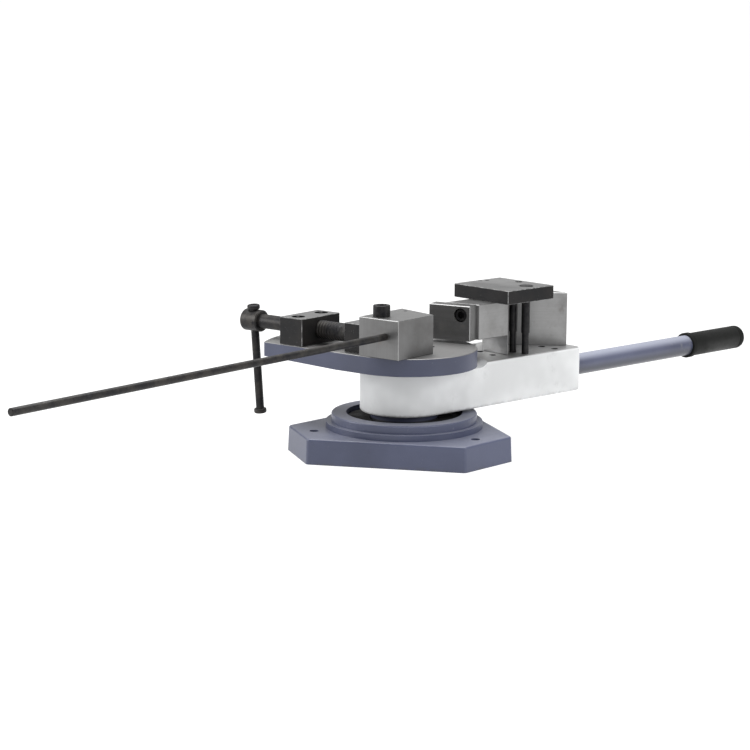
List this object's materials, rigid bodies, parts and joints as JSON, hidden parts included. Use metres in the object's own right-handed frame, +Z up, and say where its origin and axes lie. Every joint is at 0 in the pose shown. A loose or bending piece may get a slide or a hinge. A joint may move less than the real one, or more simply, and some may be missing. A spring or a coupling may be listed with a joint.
{
  "type": "bar and tube bender",
  "caption": "Bench-mounted bar and tube bender: painted cast base, swinging arm with vee tooling, steel anvil with a screw clamp, long stop rod and padded lever.",
  "frame": {"origin": "the pivot axis where it meets the bench, the centre of the bench bolt circle", "axes": "+Z up along the pivot axis; -Y towards the long side of the base that faces the user; the stop rod runs to -Y and the lever to +Y and +X"},
  "size_m": [0.7506, 1.3542, 0.226],
  "materials": {
    "blue_paint": "satin slate-blue enamel, worn at the edges",
    "light_paint": "satin light grey enamel",
    "machined_steel": "machined grey steel",
    "ground_steel": "ground and lightly rubbed",
    "black_steel": "blackened, semi-matt",
    "black_fastener": "blackened screws and pins",
    "bearing_bronze": "plain bearing bronze",
    "plated_steel": "zinc plated",
    "rubber_grip": "matt grip rubber"
  },
  "bodies": {
    "base": {"base_casting": "blue_paint", "pivot_shaft": "machined_steel", "shaft_washer": "plated_steel", "shaft_nut": "plated_steel", "lower_thrust_washer": "bearing_bronze", "upper_thrust_washer": "bearing_bronze", "table_plate": "blue_paint", "table_screws": "black_fastener", "nut_block": "black_steel", "nut_block_screws": "black_fastener", "anvil_block": "ground_steel", "anvil_dowels": "machined_steel", "anvil_screw": "black_fastener", "anvil_grub": "black_fastener", "stop_rod": "black_steel"},
    "arm": {"swing_arm": "light_paint", "lower_bush": "bearing_bronze", "upper_bush": "bearing_bronze", "grease_nipple": "plated_steel", "vee_block": "ground_steel", "vee_block_dowels": "machined_steel", "vee_block_screws": "black_fastener", "jaw_plate": "ground_steel", "jaw_screw": "black_fastener", "lever_tube": "blue_paint", "lever_grip": "rubber_grip", "lever_plug": "blue_paint", "lever_screw": "black_fastener"},
    "top_tooling": {"top_plate": "black_steel", "plate_grubs": "black_fastener", "blind_pin": "black_fastener", "headed_pin": "black_fastener"},
    "clamp": {"pusher_block": "black_steel", "pusher_pins": "black_fastener"},
    "spindle": {"clamp_spindle": "black_steel", "spindle_hub": "black_steel", "hub_pin": "black_fastener"},
    "tommy": {"tommy_bar": "black_steel", "tommy_knobs": "black_steel"}
  },
  "joints": [
    {"name": "arm_swing", "type": "hinge", "parent": "base", "child": "arm", "pos_m": [0, 0, 0.08], "axis": [0, 0, 1], "range_deg": [-90, 80]},
    {"name": "plate_lift", "type": "slide", "parent": "arm", "child": "top_tooling", "axis": [0, 0, 1], "range_m": [0, 0.1]},
    {"name": "clamp_feed", "type": "slide", "parent": "base", "child": "clamp", "axis": [0.8988, -0.4384, 0], "range_m": [-0.06001, 0.00501]},
    {"name": "spindle_turn", "type": "hinge", "parent": "clamp", "child": "spindle", "pos_m": [-0.23713, 0.05446, 0.171], "axis": [0.8988, -0.4384, 0], "range_deg": [-4320, 360]},
    {"name": "tommy_slide", "type": "slide", "parent": "spindle", "child": "tommy", "axis": [-0.0382, -0.0783, 0.9962], "range_m": [0, 0.117]}
  ],
  "couplings": [
    {"joint": "clamp_feed", "follows": "spindle_turn", "m_per_rad": 0.00079577}
  ]
}
